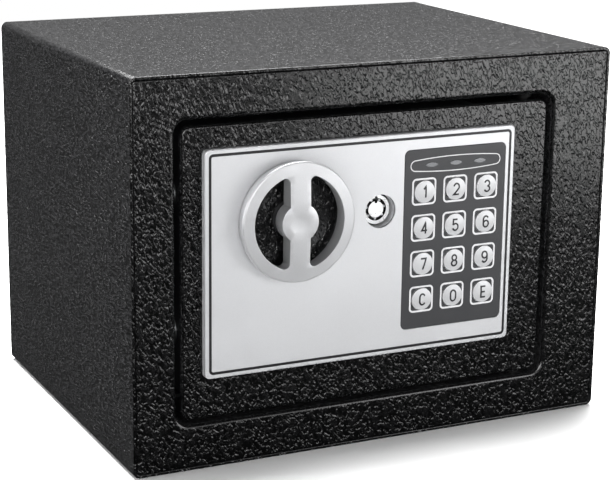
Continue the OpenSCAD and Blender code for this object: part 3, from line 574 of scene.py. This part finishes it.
def add_felt_mat(look):
    """The loose felt mat, with a soft cut edge and faint waves, in the space of its CAD solid."""
    low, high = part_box("floor_mat")
    mat = bpy.data.objects.new("felt_mat", NODES["floor_mat"].data.copy())
    bpy.context.scene.collection.objects.link(mat)
    remesh = mat.modifiers.new("remesh", "REMESH")
    remesh.mode = "VOXEL"
    remesh.voxel_size = MAT_VOXEL
    mesh = bpy.data.meshes.new_from_object(mat.evaluated_get(bpy.context.evaluated_depsgraph_get()))
    mat.modifiers.clear()
    mat.data = mesh
    for vertex in mesh.vertices:
        at = vertex.co
        wave = noise.noise(at * WAVE_RATE) * WAVE_MM + noise.noise(at * LUMP_RATE) * LUMP_MM - MAT_SINK_MM
        nap = noise.noise(at * NAP_RATE + NAP_SHIFT) * NAP_MM
        upper = (at.z - low.z) / (high.z - low.z)
        at.z = min(high.z, max(low.z, at.z + wave * upper * MM))
        at.x = min(high.x, max(low.x, at.x + nap * MM))
        at.y = min(high.y, max(low.y, at.y + nap * MM))
    mesh.materials.clear()
    mesh.materials.append(look)
    mesh.polygons.foreach_set("use_smooth", [True] * len(mesh.polygons))
    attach(mat, "cabinet")
    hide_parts("floor_mat")


# ---- Key legends ----

LEGEND_WIDE = 2.6 * MM
LEGEND_HIGH = 4.9 * MM
LEGEND_STROKE = 0.78 * MM
LEGEND_LIFT = 0.03 * MM
# Each further stroke of a legend is higher by this share, so that crossing strokes don't share a face.
STROKE_STEP = 0.2
POINT_GAP = 0.35 * MM
ARC_STEP = 12
MITRE_LEAST = 0.45
SAME_POINT = 1e-7
KEY_RADIUS = 4.9 * MM
KEY_RISE = 0.7 * MM


def arc(x, z, rx, rz, start, end):
    """Points along an ellipse from one angle to another, in degrees."""
    count = max(2, round(abs(end - start) / ARC_STEP))
    angles = [math.radians(start + (end - start) * i / count) for i in range(count + 1)]
    return [(x + rx * math.cos(a), z + rz * math.sin(a)) for a in angles]


def turned(strokes):
    """The same strokes turned by half a turn."""
    return [[(-x, -z) for x, z in stroke] for stroke in strokes]


def legend_strokes():
    """Each legend as the middle lines of its strokes, in a box one wide and one high."""
    top = arc(0, 0.17, 0.5, 0.33, 180, 0)
    bottom = arc(0, -0.17, 0.5, 0.33, 0, -180)
    six = [arc(0, -0.2, 0.5, 0.3, 180, -180), [(-0.5, -0.2), *arc(0, 0.17, 0.5, 0.33, 180, 30)]]
    return {
        "1": [[(-0.32, 0.25), (0.08, 0.5), (0.08, -0.5)]],
        "2": [[*arc(0, 0.2, 0.5, 0.3, 170, -25), (-0.5, -0.5), (0.5, -0.5)]],
        "3": [arc(0, 0.25, 0.46, 0.25, 165, -90), arc(0, -0.25, 0.5, 0.25, 90, -165)],
        "4": [[(0.2, -0.5), (0.2, 0.5), (-0.5, -0.2), (0.5, -0.2)]],
        "5": [[(0.42, 0.5), (-0.38, 0.5), (-0.44, 0.06), *arc(0, -0.19, 0.5, 0.31, 130, -160)]],
        "6": six,
        "7": [[(-0.5, 0.5), (0.5, 0.5), (-0.12, -0.5)]],
        "8": [arc(0, 0.26, 0.43, 0.24, 180, -180), arc(0, -0.24, 0.5, 0.26, 180, -180)],
        "9": turned(six),
        "0": [[*top, *bottom, top[0]]],
        "c": [[*arc(0, 0.17, 0.5, 0.33, 25, 180), *arc(0, -0.17, 0.5, 0.33, 180, 335)]],
        "e": [[(0.45, 0.5), (-0.42, 0.5), (-0.42, -0.5), (0.45, -0.5)], [(-0.42, 0.0), (0.34, 0.0)]],
    }


def resampled(points):
    """The same line with points at most POINT_GAP apart, so that it can follow the dome."""
    out = [points[0]]
    for start, end in zip(points, points[1:]):
        count = max(1, math.ceil((end - start).length / POINT_GAP))
        out += [start.lerp(end, i / count) for i in range(1, count + 1)]
    return out


def ribbon_sides(points):
    """Offsets every point to both sides, mitred at the corners."""
    closed = (points[0] - points[-1]).length < SAME_POINT
    if closed:
        points = points[:-1]
    sides = []
    for i, at in enumerate(points):
        before = points[i - 1] if i or closed else None
        after = points[(i + 1) % len(points)] if i + 1 < len(points) or closed else None
        into = (at - before).normalized() if before else (after - at).normalized()
        out = (after - at).normalized() if after else into
        along = (into + out).normalized()
        reach = LEGEND_STROKE / 2 / max(MITRE_LEAST, along.dot(out))
        across = Vector((-along.y, along.x)) * reach
        sides.append((at + across, at - across))
    return sides + sides[:1] if closed else sides


def add_legend(label, strokes, node_name, ink):
    """Ink in low relief on the key's dome."""
    low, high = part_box(node_name)
    centre = (low + high) / 2
    radius = (KEY_RADIUS**2 + KEY_RISE**2) / (2 * KEY_RISE)
    shape = bmesh.new()
    for number, stroke in enumerate(strokes):
        points = [Vector((x * LEGEND_WIDE, z * LEGEND_HIGH)) for x, z in stroke]
        rows = []
        for pair in ribbon_sides(resampled(points)):
            row = []
            for lift in (LEGEND_LIFT * (1 + STROKE_STEP * number), -LEGEND_LIFT):
                for flat in pair if lift > 0 else pair[::-1]:
                    bulge = math.sqrt(radius**2 - flat.x**2 - flat.y**2) - radius + lift
                    row.append(shape.verts.new((centre.x + flat.x, low.y - bulge, centre.z + flat.y)))
            rows.append(row)
        for first, second in zip(rows, rows[1:]):
            for i in range(4):
                shape.faces.new((first[i], first[i - 1], second[i - 1], second[i]))
        shape.faces.new(rows[0])
        shape.faces.new(rows[-1][::-1])
    bmesh.ops.recalc_face_normals(shape, faces=shape.faces)
    mesh = bpy.data.meshes.new("legend_" + label)
    shape.to_mesh(mesh)
    shape.free()
    legend = bpy.data.objects.new("legend_" + label, mesh)
    bpy.context.scene.collection.objects.link(legend)
    mesh.materials.append(ink)
    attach(legend, node_name)


def add_legends():
    ink = dark_ink("legend_ink", (0.006, 0.006, 0.007), (0.012, 0.012, 0.014))
    for label, strokes in legend_strokes().items():
        add_legend(label, strokes, "key_" + label, ink)


add_camera()
add_lights()
add_studio()
add_floor()
LOOKS = dress_nodes()
soften_edges()
add_felt_mat(LOOKS["felt"])
add_legends()
